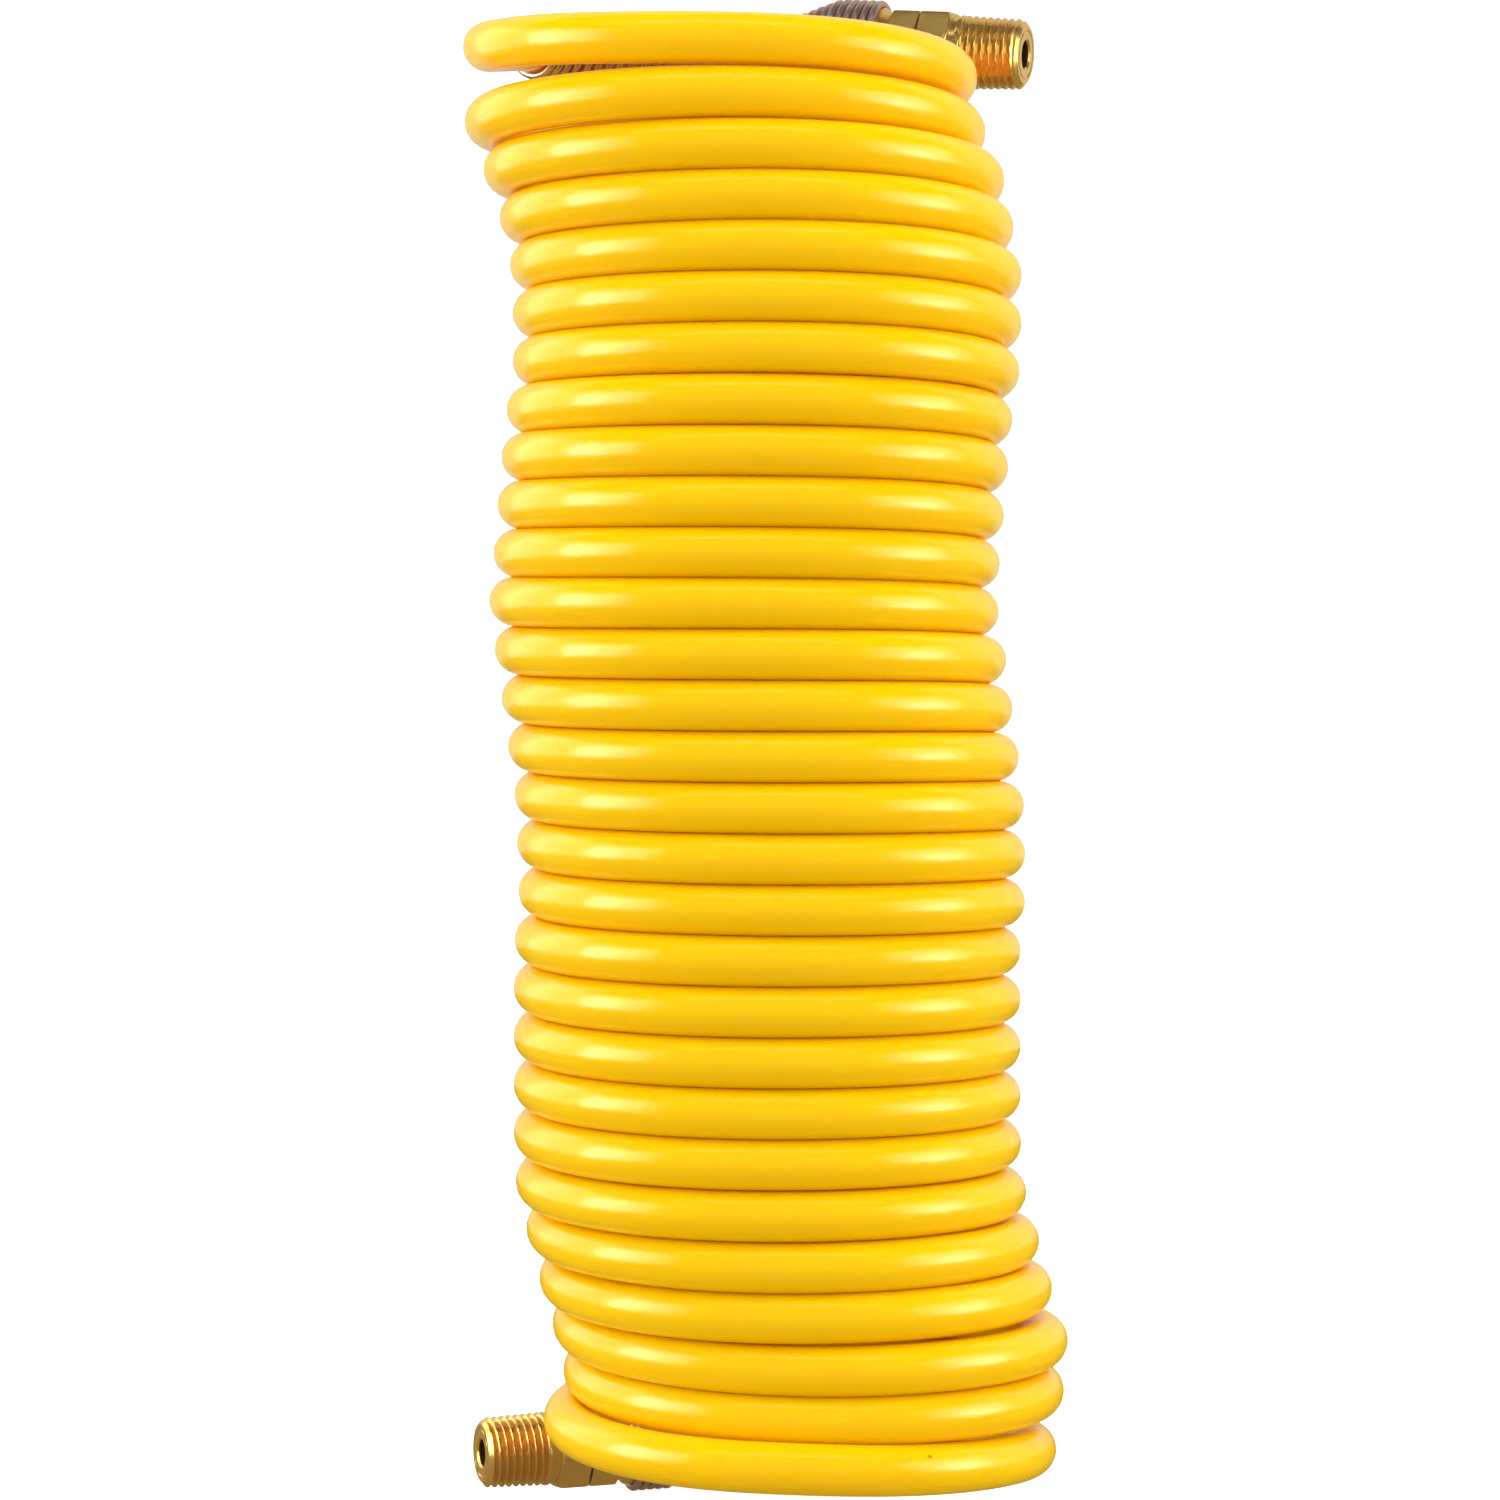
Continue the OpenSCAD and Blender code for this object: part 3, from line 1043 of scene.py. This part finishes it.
@dataclass(frozen=True)
class Softbox:
    """One rectangular studio light that faces the object."""

    name: str
    azimuth: float
    elevation: float
    distance: float
    width: float
    height: float
    radiance: float
    role: LightRole
    aim: tuple[float, float, float] = (0.0, 0.0, 0.145)
    sheen_tint: tuple[float, float, float] = (0.87, 1.0, 0.72)

    def build(self) -> None:
        """Adds the light. Azimuth 0 is the camera's side and positive is to its right."""
        light = bpy.data.lights.new(self.name, "AREA")
        light.shape = "RECTANGLE"
        light.size, light.size_y = self.width, self.height
        light.energy = self.radiance * math.pi * self.width * self.height
        if self.role is LightRole.SHEEN:
            light.color = self.sheen_tint
        obj = bpy.data.objects.new(self.name, light)
        a, e = math.radians(self.azimuth), math.radians(self.elevation)
        away = Vector((math.sin(a) * math.cos(e), -math.cos(a) * math.cos(e), math.sin(e)))
        obj.location = Vector(self.aim) + away * self.distance
        obj.rotation_euler = (-away).to_track_quat("-Z", "Y").to_euler()
        obj.visible_diffuse = self.role is LightRole.FILL
        obj.visible_glossy = self.role is LightRole.SHEEN
        bpy.context.scene.collection.objects.link(obj)


@dataclass
class Studio:
    """Camera, pale floor, white surround and soft lights."""

    lens: float = 97.56
    distance: float = 0.7508
    eye_height: float = 0.1626
    eye_right: float = -0.00311
    tilt_down: float = 1.409
    surround: float = 0.52
    # the sweep's start behind the object, its bend radius and the card's half width and top
    sweep_from: float = 0.9
    sweep_radius: float = 0.8
    half_width: float = 4.0
    sweep_top: float = 4.0
    near_edge: float = -3.0
    # how far the cards that only reflections see lie below the others
    card_drop: float = 0.5 * MM

    def build(self) -> None:
        """Adds everything."""
        scene = bpy.context.scene
        camera = bpy.data.cameras.new("camera")
        camera.sensor_width = 36.0
        camera.lens = self.lens
        camera.clip_start, camera.clip_end = 0.01, 50.0
        eye = bpy.data.objects.new("camera", camera)
        eye.location = (self.eye_right, -self.distance, self.eye_height)
        eye.rotation_euler = (math.radians(90.0 - self.tilt_down), 0.0, 0.0)
        scene.collection.objects.link(eye)
        scene.camera = eye
        self.floor()
        world = bpy.data.worlds.new("surround")
        scene.world = world
        world.use_nodes = True
        background = world.node_tree.nodes["Background"]
        background.inputs[0].default_value = (1.0, 1.0, 1.0, 1.0)
        background.inputs[1].default_value = self.surround
        world.cycles_visibility.glossy = False
        sheen, fill = LightRole.SHEEN, LightRole.FILL
        for box in (
            Softbox("left softbox", -72.0, 4.0, 1.0, 0.62, 1.10, 3.9, sheen),
            Softbox("left softbox core", -80.0, 4.0, 0.99, 0.34, 0.70, 4.0, sheen),
            Softbox("left spill", -110.0, 4.0, 1.0, 1.00, 1.30, 1.5, sheen),
            Softbox("right softbox", 79.0, 2.0, 1.0, 0.80, 1.05, 2.9, sheen),
            Softbox("right softbox core", 80.0, 2.0, 0.99, 0.26, 0.36, 6.5, sheen),
            Softbox("overhead strip", 0.0, 68.0, 1.0, 1.2, 0.10, 2.4, sheen),
            Softbox("room glow", 0.0, 20.0, 1.5, 2.6, 1.6, 0.14, sheen),
            Softbox("front fill", 4.0, 36.0, 1.3, 1.5, 1.2, 0.70, fill),
            Softbox("eye level fill", 0.0, 2.0, 1.3, 1.6, 0.7, 1.05, fill),
            Softbox("left fill", -62.0, 18.0, 1.1, 0.9, 0.9, 1.2, fill),
            Softbox("right fill", 64.0, 12.0, 1.1, 0.8, 0.9, 1.2, fill),
            Softbox("left side fill", -106.0, 4.0, 1.1, 1.0, 1.2, 2.6, fill),
            Softbox("right side fill", 106.0, 4.0, 1.1, 1.0, 1.2, 2.4, fill),
            Softbox("overhead light", 8.0, 76.0, 1.1, 1.0, 0.8, 2.2, fill),
        ):
            box.build()
        scene.view_settings.view_transform = "Standard"
        scene.view_settings.look = "None"

    def card_material(
        self, name: str, tone: float, glow: float, tint: tuple[float, float, float] = (1.0, 1.0, 1.0)
    ) -> bpy.types.Material:
        """Builds a matt card that also glows.

        Args:
            name: material name.
            tone: grey of the card.
            glow: how brightly it shines by itself.
            tint: colour of the glow.

        Returns:
            The material.
        """
        material, _, shader = new_material(name)
        shader.inputs["Base Color"].default_value = (tone, tone, tone, 1.0)
        shader.inputs["Roughness"].default_value = 0.9
        shader.inputs["Emission Color"].default_value = (*tint, 1.0)
        shader.inputs["Emission Strength"].default_value = glow
        return material

    def floor(self) -> None:
        """Adds a pale floor, the sweep that rises behind the object and their soft reflection.

        The camera sees the white pair, and the glossy pieces mirror a dimmer, warmer pair.
        """
        pale = self.card_material("pale floor", 0.62, 0.92)
        low = self.card_material("floor reflection", 0.0, 0.24, (1.0, 0.78, 0.24))
        far = self.card_material("sweep reflection", 0.0, 0.66, (1.0, 0.97, 0.80))
        start, radius = self.sweep_from, self.sweep_radius
        flat = [(self.near_edge, 0.0), (start, 0.0)]
        rise = [(start, 0.0)]
        bend_steps = 12
        for k in range(1, bend_steps + 1):
            a = math.radians(90.0 * k / bend_steps)
            rise.append((start + radius * math.sin(a), radius - radius * math.cos(a)))
        rise.append((start + radius, self.sweep_top))
        for name, profile, material, drop in (
            ("floor", flat, pale, 0.0),
            ("backdrop", rise, pale, 0.0),
            ("floor_reflection", flat, low, -self.card_drop),
            ("backdrop_reflection", rise, far, -self.card_drop),
        ):
            verts = [(x, y, z) for x in (-self.half_width, self.half_width) for y, z in profile]
            n = len(profile)
            faces = [(i, n + i, n + i + 1, i + 1) for i in range(n - 1)]
            mesh = bpy.data.meshes.new(name)
            mesh.from_pydata(verts, [], faces)
            mesh.shade_smooth()
            mesh.materials.append(material)
            obj = bpy.data.objects.new(name, mesh)
            obj.location.z = drop
            obj.visible_diffuse = False
            obj.visible_glossy = drop < 0.0
            obj.visible_camera = drop == 0.0
            bpy.context.scene.collection.objects.link(obj)


def main() -> None:
    """Builds the studio and every piece of the hose."""
    Studio().build()
    nylon = NylonFinish().build()
    brass = BrassFinish().build()
    # dark brass for the connectors' bores: painted shade standing in for the shadow inside the hole
    bore_painted_shade = InnerFinish("drilled brass", (0.16, 0.085, 0.03), (0.09, 0.045, 0.015), 0.5, 0.8).build()
    plated = GuardFinish().build()
    sweeper = WireSweep()
    route = HoseRoute()
    hose = Hose(route)
    tube = hose.build(sweeper, nylon)
    on_end: list[bpy.types.Object] = []
    for end in End:
        guard_maker = SpringGuard(end, route, hose)
        guard = guard_maker.build(sweeper, plated)
        guard_maker.dress(guard)
        connector = MaleConnector(end, route).build(brass, bore_painted_shade)
        nut = CompressionNut(end, route).build(brass)
        log.info("%s fitting built", end.label)
        if end is End.TOP:
            on_end = [guard, connector, nut]
    HiddenParts(brass).dress()
    hose.dress(tube, on_end)


if __name__ == "__main__":
    main()
